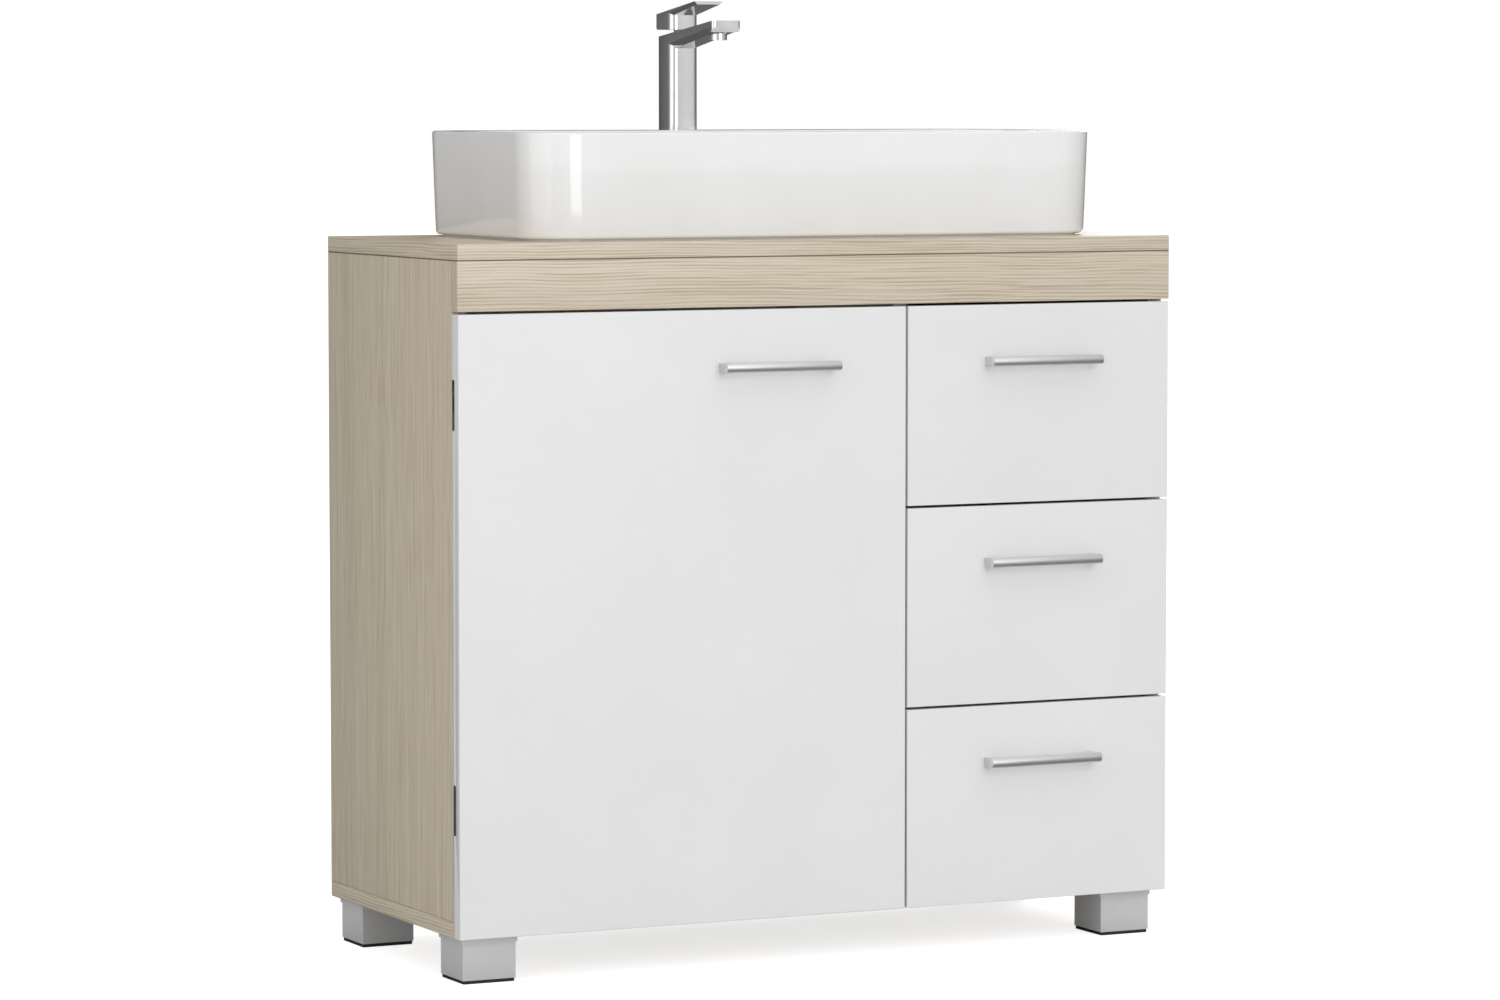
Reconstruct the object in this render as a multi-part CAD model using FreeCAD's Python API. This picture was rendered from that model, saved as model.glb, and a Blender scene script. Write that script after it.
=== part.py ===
import FreeCAD, Part
import math
import os

from FreeCAD import Vector

# Vessel sink on a low vanity cabinet, in millimetres.
# Origin: centre of the footprint on the floor. +Z up, the fronts face -Y, +X to the right.

# ---- cabinet ----
cabinet_width = 800.0
cabinet_depth = 340.0        # from the fronts' faces to the wall
counter_top_z = 730.0
board = 16.0                 # thickness of every cabinet board
front_board = 15.0           # door and drawer fronts are let 1 mm off the carcass
foot_height = 47.0
apron_height = 50.0
front_gap = 2.5              # joint between neighbouring fronts
split_x = 94.0               # middle of the joint between door and drawers
edge_round = 1.0             # eased edges of the fronts
handle_proud = 21.0

front_y = handle_proud - (cabinet_depth + handle_proud) / 2
back_y = front_y + cabinet_depth
carcass_y = front_y + board
half_width = cabinet_width / 2
inner_x = half_width - board
floor_z = foot_height + board                # top of the bottom board
under_top_z = counter_top_z - board          # underside of the countertop
apron_z = under_top_z - apron_height
fronts_pitch = (apron_z - foot_height) / 3

partition_x = split_x - 8.0                  # left face of the partition
rear_panel = 3.0
rail_height = 80.0
rail_z = under_top_z - rail_height
wall_hole_spacing = 600.0
wall_hole_radius = 3.5
cutout_left_x = -180.0                       # plumbing cut-out in the back panel
cutout_right_x = 70.0
cutout_low_z = 380.0

shelf_z = 290.0
shelf_setback = 20.0
shelf_pin_radius = 2.5

# ---- feet ----
foot_size = 56.0
foot_collar = 60.0
foot_collar_height = 7.0
foot_pad_size = 55.0
foot_pad_height = 3.5
foot_corner = 1.5
foot_side_inset = 11.0
foot_bolt_radius = 4.0

# ---- handles ----
handle_length = 128.0
handle_height = 10.0
handle_bar_depth = 8.0
handle_leg = 6.0
handle_drop = 57.5                           # from the top of a front to the bar's middle
door_handle_x = -54.0

# ---- hinges: a 49 mm knuckle let into the door's back edge ----
hinge_height = 49.0
hinge_pivot_x = -half_width + 2.0
hinge_pivot_y = front_y + 13.0
knuckle_radius = 2.0
hinge_pin_radius = 0.95
running_gap = 0.05
leaf_thick = 1.2
door_leaf_width = 28.0
hinge_from_top = 89.0
hinge_from_bottom = 127.0

# ---- drawers ----
drawer_side = 12.0
drawer_box_height = 130.0
drawer_box_depth = 275.0
drawer_box_lift = 26.0                       # box floor above the front's lower edge
drawer_floor = 4.0
runner_space = 12.5                          # on each side of the box
runner_length = 250.0
runner_height = 30.0
runner_steel = 1.2

# ---- basin ----
basin_x = 16.0
basin_y = 17.0
basin_width = 644.0
basin_depth = 303.0
basin_height = 108.0
basin_corner = 54.0
basin_flare = 3.0
basin_wall = 8.0
basin_ledge = 62.0                           # tap ledge behind the bowl
basin_floor = 20.0
bowl_slope = 14.0                            # the bowl narrows by this at its floor
foot_ring_inset = 7.0
foot_ring_height = 2.0
rim_z = counter_top_z + basin_height
bowl_floor_z = counter_top_z + basin_floor

# ---- waste ----
drain_x = 16.0
drain_y = -10.0
waste_hole_radius = 23.0
flange_radius = 32.0
waste_radius = 20.5
waste_bore = 17.0
pipe_radius = 16.0
pipe_wall = 1.5
spigot_length = 50.0                         # free end for the wall connection, behind a bead
trap_radius = 29.0
plug_radius = 30.5
plug_lift = 8.0

# ---- faucet ----
faucet_x = -22.0
faucet_width = 32.4
faucet_depth = 36.0
faucet_back_y = front_y + 316.0
faucet_corner = 8.0
spout_tip_y = front_y + 180.0
body_back_z = counter_top_z + 205.0
spout_tip_z = counter_top_z + 221.0
spout_thick = 12.0
aerator_radius = 9.0
aerator_height = 7.0
aerator_low_z = spout_tip_z - 20.0
lever_low_z = counter_top_z + 212.7
lever_back_z = counter_top_z + 229.0
lever_tip_z = counter_top_z + 241.5
lever_tip_y = front_y + 223.0
lever_block_height = 15.0                    # front face of the block, below the blade
lever_edge_round = 1.0
blade_tip_thick = 3.5
stem_radius = 4.0
collar_radius = 8.9
tilt_z = body_back_z - 7.0                   # height of the lever's cross pin
cartridge_top_z = body_back_z - 1.0
tap_hole_radius = 14.0
inlet_radius = 4.6
inlet_depth = 12.0

X = Vector(1, 0, 0)
Y = Vector(0, 1, 0)
Z = Vector(0, 0, 1)


def block(x0, x1, y0, y1, z0, z1):
    """A box between two opposite corners."""
    return Part.makeBox(x1 - x0, y1 - y0, z1 - z0, Vector(x0, y0, z0))


def rod(radius, length, x, y, z, along=Z):
    return Part.makeCylinder(radius, length, Vector(x, y, z), along)


def tube(outer, inner, length, x, y, z, along=Z):
    return rod(outer, length, x, y, z, along).cut(rod(inner, length, x, y, z, along))


def round_edges(solid, radius, wanted):
    """Fillet the edges that the test accepts."""
    return solid.makeFillet(radius, [edge for edge in solid.Edges if wanted(edge)])


def is_along(axis):
    def test(edge):
        ends = [v.Point for v in edge.Vertexes]
        if len(ends) < 2:
            return False
        run = ends[1] - ends[0]
        return run.Length > 0 and abs(abs(run.dot(axis)) - run.Length) < 1e-6
    return test


def lies_at_y(y):
    def test(edge):
        return all(abs(v.Point.y - y) < 1e-6 for v in edge.Vertexes)
    return test


def rounded_outline(cx, cy, width, depth, radius, z):
    """Closed rectangle with round corners, lying flat at height z."""
    a = width / 2
    b = depth / 2
    r = radius
    slant = r * (1 - math.sqrt(0.5))
    edges = []
    for sx, sy in ((1, 1), (-1, 1), (-1, -1), (1, -1)):
        along_x = Vector(cx + sx * (a - r), cy + sy * b, z)
        along_y = Vector(cx + sx * a, cy + sy * (b - r), z)
        middle = Vector(cx + sx * (a - slant), cy + sy * (b - slant), z)
        start, end = (along_y, along_x) if sx * sy > 0 else (along_x, along_y)
        edges.append((start, middle, end))
    pieces = []
    for number, (start, middle, end) in enumerate(edges):
        pieces.append(Part.Arc(start, middle, end).toShape())
        following = edges[(number + 1) % 4][0]
        pieces.append(Part.makeLine(end, following))
    return Part.Wire(pieces)


def tapered(sections):
    """Straight-sided solid through flat outlines."""
    return Part.makeLoft(sections, True, True)


def prism_x(points, x0, x1):
    """Solid whose (y, z) outline is drawn out along X."""
    corners = [Vector(x0, y, z) for y, z in points]
    face = Part.Face(Part.makePolygon(corners + corners[:1]))
    return face.extrude(Vector(x1 - x0, 0, 0))


def save(name, *solids):
    shape = solids[0] if len(solids) == 1 else Part.makeCompound(list(solids))
    shape.exportStep("parts/" + name + ".step")


def screw(x, y, z, into, length=13.0, shank=1.6, head=3.0, head_height=1.2):
    """Countersunk screw: flat head at the point, shank driven along into."""
    cone = Part.makeCone(head, shank, head_height, Vector(x, y, z), into)
    return cone.fuse(Part.makeCylinder(shank, length, Vector(x, y, z), into))


# ---------------------------------------------------------------- cabinet

def make_rear_rail():
    rail = block(-inner_x, inner_x, back_y - board, back_y, rail_z, under_top_z)
    for side in (-1, 1):
        x = side * wall_hole_spacing / 2
        rail = rail.cut(rod(wall_hole_radius, board + 2, x, back_y - board - 1, rail_z + rail_height / 2, Y))
    return rail


def make_back_panel():
    panel = block(-inner_x, inner_x, back_y - rear_panel, back_y, floor_z, rail_z)
    opening = block(cutout_left_x, cutout_right_x, back_y - 2 * rear_panel, back_y + 1, cutout_low_z, rail_z + 1)
    return panel.cut(opening)


def make_shelf():
    front = carcass_y + shelf_setback
    return block(-inner_x, partition_x, front, back_y - rear_panel, shelf_z, shelf_z + board)


def make_shelf_pins():
    pins = []
    for y in (carcass_y + 60, back_y - 60):
        pins.append(rod(shelf_pin_radius, 16, -inner_x - 8, y, shelf_z - shelf_pin_radius, X))
        pins.append(rod(shelf_pin_radius, 16, partition_x - 8, y, shelf_z - shelf_pin_radius, X))
    return pins


def foot_centres():
    x = half_width - foot_side_inset - foot_size / 2
    front = carcass_y + foot_size / 2
    rear = back_y - 1 - foot_collar / 2
    return [(side * x, y) for y in (front + 2, rear) for side in (-1, 1)]


def make_foot(x, y):
    low = foot_pad_height
    high = foot_height
    a = foot_size / 2
    c = foot_collar / 2
    leg = round_edges(block(x - a, x + a, y - a, y + a, low, high), foot_corner, is_along(Z))
    collar = block(x - c, x + c, y - c, y + c, high - foot_collar_height, high)
    collar = round_edges(collar, foot_corner, is_along(Z))
    return leg.fuse(collar).removeSplitter()


def make_foot_bolt(x, y):
    head = rod(foot_bolt_radius * 1.8, 4, x, y, foot_height - 20)
    return head.fuse(rod(foot_bolt_radius, 30, x, y, foot_height - 18))


def make_foot_pad(x, y):
    a = foot_pad_size / 2
    return round_edges(block(x - a, x + a, y - a, y + a, 0, foot_pad_height), foot_corner, is_along(Z))


def make_panel_screws():
    """Long screws driven up through the bottom board into the upright panels."""
    screws = []
    for x in (-half_width + board / 2, partition_x + board / 2, half_width - board / 2):
        for y in (carcass_y + 75, back_y - 75):
            screws.append(screw(x, y, foot_height, Z, 50, 3.0, 4.5, 3.0))
    return screws


# ---------------------------------------------------------------- hinges and catch

def hinge_centres():
    top = apron_z - front_gap - hinge_from_top
    bottom = foot_height + hinge_from_bottom
    return (top, bottom)


def make_hinge_notch(z):
    """Room in the door's back edge for one knuckle."""
    half = hinge_height / 2 + 0.5
    left = -half_width - 1
    slot = block(left, hinge_pivot_x + 3.5, hinge_pivot_y - 3.5, front_y + front_board + 1, z - half, z + half)
    return round_edges(slot, 2.0, is_along(X))


def make_door_leaf(z):
    half = hinge_height / 2
    third = hinge_height / 3
    plate = block(hinge_pivot_x, hinge_pivot_x + door_leaf_width, front_y + front_board - leaf_thick,
                  front_y + front_board, z - half, z + half)
    barrel = rod(knuckle_radius, hinge_height, hinge_pivot_x, hinge_pivot_y, z - half)
    leaf = plate.fuse(barrel)
    middle = block(hinge_pivot_x - 4, hinge_pivot_x + 3.2, hinge_pivot_y - 4, hinge_pivot_y + 4,
                   z - third / 2 - 0.3, z + third / 2 + 0.3)
    bore = rod(hinge_pin_radius + running_gap, hinge_height + 2, hinge_pivot_x, hinge_pivot_y, z - half - 1)
    return leaf.cut(middle).cut(bore)


def make_frame_leaf(z):
    third = hinge_height / 3
    half = hinge_height / 2
    plate = block(-half_width + 1, -half_width + board - 2, carcass_y, carcass_y + leaf_thick, z - half, z + half)
    web = block(hinge_pivot_x - 0.8, hinge_pivot_x + 0.8, hinge_pivot_y, carcass_y + leaf_thick,
                z - third / 2, z + third / 2)
    barrel = rod(knuckle_radius, third, hinge_pivot_x, hinge_pivot_y, z - third / 2)
    bore = rod(hinge_pin_radius, third + 2, hinge_pivot_x, hinge_pivot_y, z - third / 2 - 1)
    return plate.fuse(web).fuse(barrel).cut(bore)


def make_hinge_pin(z):
    return rod(hinge_pin_radius, hinge_height - 1, hinge_pivot_x, hinge_pivot_y, z - hinge_height / 2 + 0.5)


def make_frame_leaf_screws(z):
    x = -half_width + board / 2
    return [screw(x, carcass_y, z + dz, Y) for dz in (-17, 17)]


def make_door_leaf_screws(z):
    back = front_y + front_board
    return [screw(hinge_pivot_x + 18, back, z + dz, -Y, 11) for dz in (-15, 15)]


def make_door_catch():
    """Magnet in a housing on the partition, near the door's free edge."""
    top = apron_z - 12
    return block(partition_x - 13, partition_x, carcass_y + 0.5, carcass_y + 16, top - 45, top)


def make_door_strike():
    top = apron_z - 14
    back = front_y + front_board
    return block(partition_x - 12, partition_x - 2, back, back + 0.5, top - 41, top)


# ---------------------------------------------------------------- fronts

def make_front(x0, x1, z0, z1):
    panel = block(x0, x1, front_y, front_y + front_board, z0, z1)
    return round_edges(panel, edge_round, lies_at_y(front_y))


def make_handle(x, z):
    """Half-round bar on two short legs at its very ends."""
    a = handle_length / 2
    h = handle_height / 2
    front = front_y - handle_proud
    bar = block(x - a, x + a, front, front + handle_bar_depth, z - h, z + h)

    def front_long_edge(edge):
        return is_along(X)(edge) and lies_at_y(front)(edge)

    bar = round_edges(bar, 4.2, front_long_edge)
    left = block(x - a, x - a + handle_leg, front + handle_bar_depth - 1, front_y, z - h, z + h)
    right = block(x + a - handle_leg, x + a, front + handle_bar_depth - 1, front_y, z - h, z + h)
    return bar.fuse(left).fuse(right).removeSplitter()


def make_door_panel():
    panel = make_front(-half_width + 0.5, split_x - front_gap / 2, foot_height, apron_z - front_gap)
    for z in hinge_centres():
        panel = panel.cut(make_hinge_notch(z))
        panel = panel.cut(make_door_leaf_bed(z))
        for part in make_door_leaf_screws(z):
            panel = panel.cut(part)
    return panel


def make_door_leaf_bed(z):
    """Shallow bed for the leaf in the door's back."""
    half = hinge_height / 2
    return block(hinge_pivot_x, hinge_pivot_x + door_leaf_width, front_y + front_board - leaf_thick,
                 front_y + front_board + 1, z - half, z + half)


# ---------------------------------------------------------------- drawers

def front_bottom(number):
    """Lower edge of drawer front 1 (top), 2 or 3 (bottom)."""
    return foot_height + (3 - number) * fronts_pitch


def box_bottom(number):
    return front_bottom(number) + drawer_box_lift


def drawer_box_span():
    left = partition_x + board + runner_space
    right = inner_x - runner_space
    return left, right


def make_drawer_front(number):
    z0 = front_bottom(number)
    return make_front(split_x + front_gap / 2, half_width - 0.5, z0, z0 + fronts_pitch - front_gap)


def make_drawer_box(number):
    """Two sides and a back standing on the drawer's floor."""
    left, right = drawer_box_span()
    z0 = box_bottom(number)
    z1 = z0 + drawer_box_height
    front = front_y + front_board
    rear = front + drawer_box_depth
    groove = block(left + 6, right - 6, front - 1, rear - 6, z0 + 8, z0 + 8 + drawer_floor)
    sides = [block(x, x + drawer_side, front, rear, z0, z1) for x in (left, right - drawer_side)]
    back = block(left + drawer_side, right - drawer_side, rear - drawer_side, rear, z0, z1)
    return [piece.cut(groove) for piece in sides + [back]]


def make_drawer_floor(number):
    left, right = drawer_box_span()
    z0 = box_bottom(number) + 8
    front = front_y + front_board
    return block(left + 6, right - 6, front, front + drawer_box_depth - 6, z0, z0 + drawer_floor)


def runner_low(number):
    return box_bottom(number) + 22


def make_cabinet_runner(wall_x, inward, number):
    """C-shaped rail screwed to a wall, open towards the drawer."""
    z0 = runner_low(number)
    y0 = carcass_y + 4
    z1 = z0 + runner_height
    reach = wall_x + inward * 8.0
    back = wall_x + inward * runner_steel
    rail = block(min(wall_x, reach), max(wall_x, reach), y0, y0 + runner_length, z0, z1)
    hollow = block(min(back, reach + inward), max(back, reach + inward), y0 - 1, y0 + runner_length + 1,
                   z0 + runner_steel, z1 - runner_steel)
    return rail.cut(hollow)


def make_drawer_rail(wall_x, inward, number):
    """Bar on the drawer's side that glides inside the cabinet runner."""
    z0 = runner_low(number) + runner_steel + 0.5
    z1 = runner_low(number) + runner_height - runner_steel - 0.5
    y0 = carcass_y + 4
    near = wall_x + inward * (runner_steel + 1.0)
    far = wall_x + inward * runner_space
    bar = block(min(near, far), max(near, far), y0, y0 + runner_length, z0, z1)
    return round_edges(bar, 1.0, is_along(Y))


def runner_walls():
    return ((partition_x + board, 1), (inner_x, -1))


# ---------------------------------------------------------------- basin

def make_basin():
    ring = tapered([
        rounded_outline(basin_x, basin_y, basin_width - 2 * foot_ring_inset, basin_depth - 2 * foot_ring_inset,
                        basin_corner - foot_ring_inset, z)
        for z in (counter_top_z, counter_top_z + foot_ring_height + 1)])
    low = counter_top_z + foot_ring_height
    outer = tapered([
        rounded_outline(basin_x, basin_y, basin_width - 2 * basin_flare, basin_depth - 2 * basin_flare,
                        basin_corner - basin_flare, low),
        rounded_outline(basin_x, basin_y, basin_width, basin_depth, basin_corner, rim_z)])
    outer = round_edges(outer, 3.0, lies_at_height(rim_z))
    outer = round_edges(outer, 4.0, lies_at_height(low))
    bowl = make_bowl_hollow()
    basin = outer.fuse(ring).cut(bowl)
    basin = basin.cut(make_ledge_pocket())
    basin = basin.cut(rod(waste_hole_radius, 3 * basin_floor, drain_x, drain_y, counter_top_z - 1))
    tap_hole = rod(tap_hole_radius, 60, faucet_x, faucet_centre_y(), rim_z - 40)
    return basin.cut(tap_hole).removeSplitter()


def lies_at_height(z):
    def test(edge):
        return all(abs(v.Point.z - z) < 1e-6 for v in edge.Vertexes)
    return test


def make_bowl_hollow():
    """The water space: straight walls that lean in, rounded into the floor."""
    depth = basin_depth - basin_wall - basin_ledge
    y = basin_y - basin_depth / 2 + basin_wall + depth / 2
    width = basin_width - 2 * basin_wall
    corner = basin_corner - basin_wall
    hollow = tapered([
        rounded_outline(basin_x, y, width - 2 * bowl_slope, depth - 2 * bowl_slope, corner, bowl_floor_z),
        rounded_outline(basin_x, y, width, depth, corner, rim_z + 1)])
    return round_edges(hollow, 26.0, lies_at_height(bowl_floor_z))


def make_ledge_pocket():
    """Space under the tap ledge, open below, for the tap's fixings."""
    y1 = basin_y + basin_depth / 2 - 12
    pocket = block(faucet_x - 45, faucet_x + 45, y1 - 36, y1, counter_top_z - 1, rim_z - 14)
    return round_edges(pocket, 8.0, is_along(Z))


def make_countertop():
    top = block(-half_width, half_width, front_y, back_y, under_top_z, counter_top_z)
    top = top.cut(rod(waste_hole_radius + 1, board + 2, drain_x, drain_y, under_top_z - 1))
    return top.cut(rod(tap_hole_radius + 6, board + 2, faucet_x, faucet_centre_y() - 2, under_top_z - 1))


# ---------------------------------------------------------------- waste

def make_drain_flange():
    """Dished ring that seals on the bowl's floor; its sleeve screws into the waste body."""
    ring = rod(flange_radius, 2.5, drain_x, drain_y, bowl_floor_z)
    ring = ring.makeFillet(1.5, [e for e in ring.Edges if e.Length < 500 and lies_at_height(bowl_floor_z + 2.5)(e)])
    sleeve = rod(waste_bore, 14, drain_x, drain_y, bowl_floor_z - 14)
    hole = rod(waste_bore - 2, 30, drain_x, drain_y, bowl_floor_z - 20)
    return ring.fuse(sleeve).cut(hole)


def make_drain_body():
    """Threaded pipe through basin and countertop, with a cross bar that guides the plug's stem."""
    low = under_top_z - 72
    body = tube(waste_radius, waste_bore, bowl_floor_z - low, drain_x, drain_y, low)
    bar = block(drain_x - waste_bore, drain_x + waste_bore, drain_y - 4.5, drain_y + 4.5,
                bowl_floor_z - 26, bowl_floor_z - 20)
    guide = rod(3.0 + running_gap, 12, drain_x, drain_y, bowl_floor_z - 30)
    return body.fuse(bar.common(rod(waste_bore + 1, 40, drain_x, drain_y, bowl_floor_z - 40))).cut(guide)


def make_drain_seals():
    upper = tube(waste_hole_radius, waste_radius, 2.0, drain_x, drain_y, bowl_floor_z - 3)
    lower = tube(flange_radius, waste_radius, 3.0, drain_x, drain_y, under_top_z - 3)
    return [upper, lower]


def hexagon(across, x, y, z, height):
    r = across / math.sqrt(3)
    points = [Vector(x + r * math.cos(math.radians(60 * k)), y + r * math.sin(math.radians(60 * k)), z)
              for k in range(7)]
    return Part.Face(Part.makePolygon(points)).extrude(Vector(0, 0, height))


def make_drain_nut():
    nut = hexagon(54, drain_x, drain_y, under_top_z - 13, 10)
    return nut.cut(rod(waste_radius, 20, drain_x, drain_y, under_top_z - 20))


def make_drain_plug():
    """Low dome on a stem: it stands on its seal and lifts to open."""
    base = bowl_floor_z + 2.9
    cap = rod(plug_radius, 5.0, drain_x, drain_y, base)
    cap = cap.makeFillet(3.0, [e for e in cap.Edges if lies_at_height(base + 5.0)(e)])
    stem = rod(3.0, 34, drain_x, drain_y, base - 33)
    seal = tube(12, 2.9, 2.0, drain_x, drain_y, base - 2)
    return cap.fuse(stem).fuse(seal)


def make_trap_parts():
    body_low = under_top_z - 190
    body_high = under_top_z - 128
    inlet_top = under_top_z - 60
    inlet = tube(pipe_radius, pipe_radius - pipe_wall, inlet_top - body_low - 20, drain_x, drain_y, body_low + 20)
    outlet_z = body_high - 26
    shell = tube(trap_radius, trap_radius - 3, body_high - body_low, drain_x, drain_y, body_low)
    lid = tube(trap_radius, pipe_radius, 4, drain_x, drain_y, body_high - 4)
    port = rod(pipe_radius + 2.5, 22, drain_x, drain_y + trap_radius - 3, outlet_z, Y)
    port_hole = rod(pipe_radius, 30, drain_x, drain_y + trap_radius - 6, outlet_z, Y)
    body = shell.fuse(lid).fuse(port.cut(rod(trap_radius - 3, 200, drain_x, drain_y, body_low))).cut(port_hole)
    cup = tube(trap_radius + 3, trap_radius, 22, drain_x, drain_y, body_low - 8)
    bottom = rod(trap_radius + 3, 4, drain_x, drain_y, body_low - 12)
    cup = cup.fuse(bottom)
    start = drain_y + trap_radius - 1
    outlet = rod(pipe_radius, back_y - start, drain_x, start, outlet_z, Y)
    outlet = outlet.fuse(rod(pipe_radius + 1, 3, drain_x, back_y - spigot_length - 3, outlet_z, Y))
    outlet = outlet.cut(rod(pipe_radius - pipe_wall, back_y - start + 2, drain_x, start - 1, outlet_z, Y))
    top_nut = tube(27, pipe_radius, 14, drain_x, drain_y, body_high)
    neck_low = under_top_z - 76
    neck_nut = tube(27, waste_radius, 20, drain_x, drain_y, neck_low + 4)
    neck_nut = neck_nut.fuse(tube(27, pipe_radius, 4, drain_x, drain_y, neck_low))
    end_nut = tube(25, pipe_radius, 14, drain_x, drain_y + trap_radius + 19, outlet_z, Y)
    return inlet, body, cup, outlet, [top_nut, neck_nut, end_nut]


# ---------------------------------------------------------------- faucet

def faucet_centre_y():
    return faucet_back_y - faucet_depth / 2


def make_faucet_body():
    """Square column and a spout that climbs towards its tip, in one casting."""
    x0 = faucet_x - faucet_width / 2
    x1 = faucet_x + faucet_width / 2
    cy = faucet_centre_y()
    column_front = faucet_back_y - faucet_depth
    slope = (spout_tip_z - body_back_z) / (faucet_back_y - spout_tip_y)
    under_column_z = body_back_z + slope * faucet_depth - spout_thick - 4
    profile = [(faucet_back_y, rim_z), (faucet_back_y, body_back_z), (spout_tip_y, spout_tip_z),
               (spout_tip_y, spout_tip_z - 7), (spout_tip_y + 4, spout_tip_z - spout_thick),
               (column_front, under_column_z), (column_front, rim_z)]
    casting = prism_x(profile, x0, x1)
    rounded_column = tapered([rounded_outline(faucet_x, cy, faucet_width, faucet_depth, faucet_corner, z)
                              for z in (rim_z, body_back_z + 20)])
    spout_zone = block(x0 - 1, x1 + 1, spout_tip_y - 1, cy, under_column_z - 1, spout_tip_z + 1)
    body = casting.common(rounded_column.fuse(spout_zone))
    tip = lies_at_y(spout_tip_y)
    body = body.removeSplitter()
    body = round_edges(body, 3.0, lambda edge: tip(edge) and is_along(Z)(edge))
    body = body.cut(rod(aerator_radius, aerator_height, faucet_x, aerator_y(), aerator_low_z))
    for side in (-1, 1):
        x = faucet_x + side * 6.8
        body = body.cut(rod(inlet_radius, inlet_depth, x, cy + 3, rim_z))
    body = body.cut(rod(4.0, 14, faucet_x, cy - 8.5, rim_z))
    return body.cut(rod(13.0, 40, faucet_x, cy, body_back_z - 30))


def aerator_y():
    return spout_tip_y + 20.0


def make_aerator():
    bore = aerator_radius - 2
    ring = tube(aerator_radius, bore, aerator_height, faucet_x, aerator_y(), aerator_low_z)
    grid = rod(bore, 2, faucet_x, aerator_y(), aerator_low_z + 2)
    holes = []
    for k in range(6):
        angle = math.radians(60 * k)
        x = faucet_x + 4.2 * math.cos(angle)
        y = aerator_y() + 4.2 * math.sin(angle)
        holes.append(rod(1.1, 4, x, y, aerator_low_z + 1))
    return ring.fuse(grid.cut(Part.makeCompound(holes)))


def make_cartridge():
    """Housing pressed into the column; its open top carries the turning collar."""
    cy = faucet_centre_y()
    shell = rod(13.0, cartridge_top_z - body_back_z + 30, faucet_x, cy, body_back_z - 30)
    return shell.cut(rod(collar_radius + running_gap, 30, faucet_x, cy, tilt_z - 7))


def make_cartridge_collar():
    """Turns with the lever; the stem tilts in its slot on a cross pin."""
    cy = faucet_centre_y()
    disc = rod(collar_radius, 10, faucet_x, cy, tilt_z - 4)
    half = stem_radius + running_gap
    disc = disc.cut(block(faucet_x - half, faucet_x + half, cy - 7, cy + 7, tilt_z - 5, tilt_z + 7))
    pin = rod(1.0, 2 * stem_radius + 2, faucet_x - stem_radius - 1, cy, tilt_z, X)
    return disc.fuse(pin)


def make_shank():
    """Threaded stud that holds the faucet down through the ledge."""
    return rod(4.0, 64, faucet_x, faucet_centre_y() - 8.5, rim_z - 50)


def make_clamp_plate():
    cy = faucet_centre_y()
    z = rim_z - 17
    plate = rod(17.5, 3, faucet_x, cy, z)
    gap = block(faucet_x - 12, faucet_x + 12, cy - 3, cy + 20, z - 1, z + 5)
    return plate.cut(gap).cut(rod(4.0, 6, faucet_x, cy - 8.5, z - 1))


def make_clamp_nut():
    z = rim_z - 27
    nut = hexagon(11, faucet_x, faucet_centre_y() - 8.5, z, 10)
    return nut.cut(rod(4.0, 14, faucet_x, faucet_centre_y() - 8.5, z - 1))


def make_lever_stem():
    cy = faucet_centre_y()
    stem = rod(stem_radius, lever_low_z + 6 - tilt_z + 5, faucet_x, cy, tilt_z - 5)
    return stem.cut(rod(1.0 + running_gap, 20, faucet_x - 10, cy, tilt_z, X))


def make_lever_handle():
    """Block over the column, drawn out forward and up into a thin blade."""
    x0 = faucet_x - faucet_width / 2
    x1 = faucet_x + faucet_width / 2
    front = faucet_back_y - faucet_depth
    profile = [(faucet_back_y, lever_low_z), (faucet_back_y, lever_back_z), (lever_tip_y, lever_tip_z),
               (lever_tip_y, lever_tip_z - blade_tip_thick), (front, lever_low_z + lever_block_height),
               (front, lever_low_z)]
    handle = prism_x(profile, x0, x1)
    handle = round_edges(handle, lever_edge_round, is_along(X))
    return handle.cut(rod(stem_radius, 11, faucet_x, faucet_centre_y(), lever_low_z - 5))


def make_set_screw():
    """Grub screw in the lever's back that grips the stem's square."""
    start = faucet_centre_y() + stem_radius
    return rod(1.5, faucet_back_y - 0.5 - start, faucet_x, start, lever_low_z + 3.5, Y)


# ---------------------------------------------------------------- assembly

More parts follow.
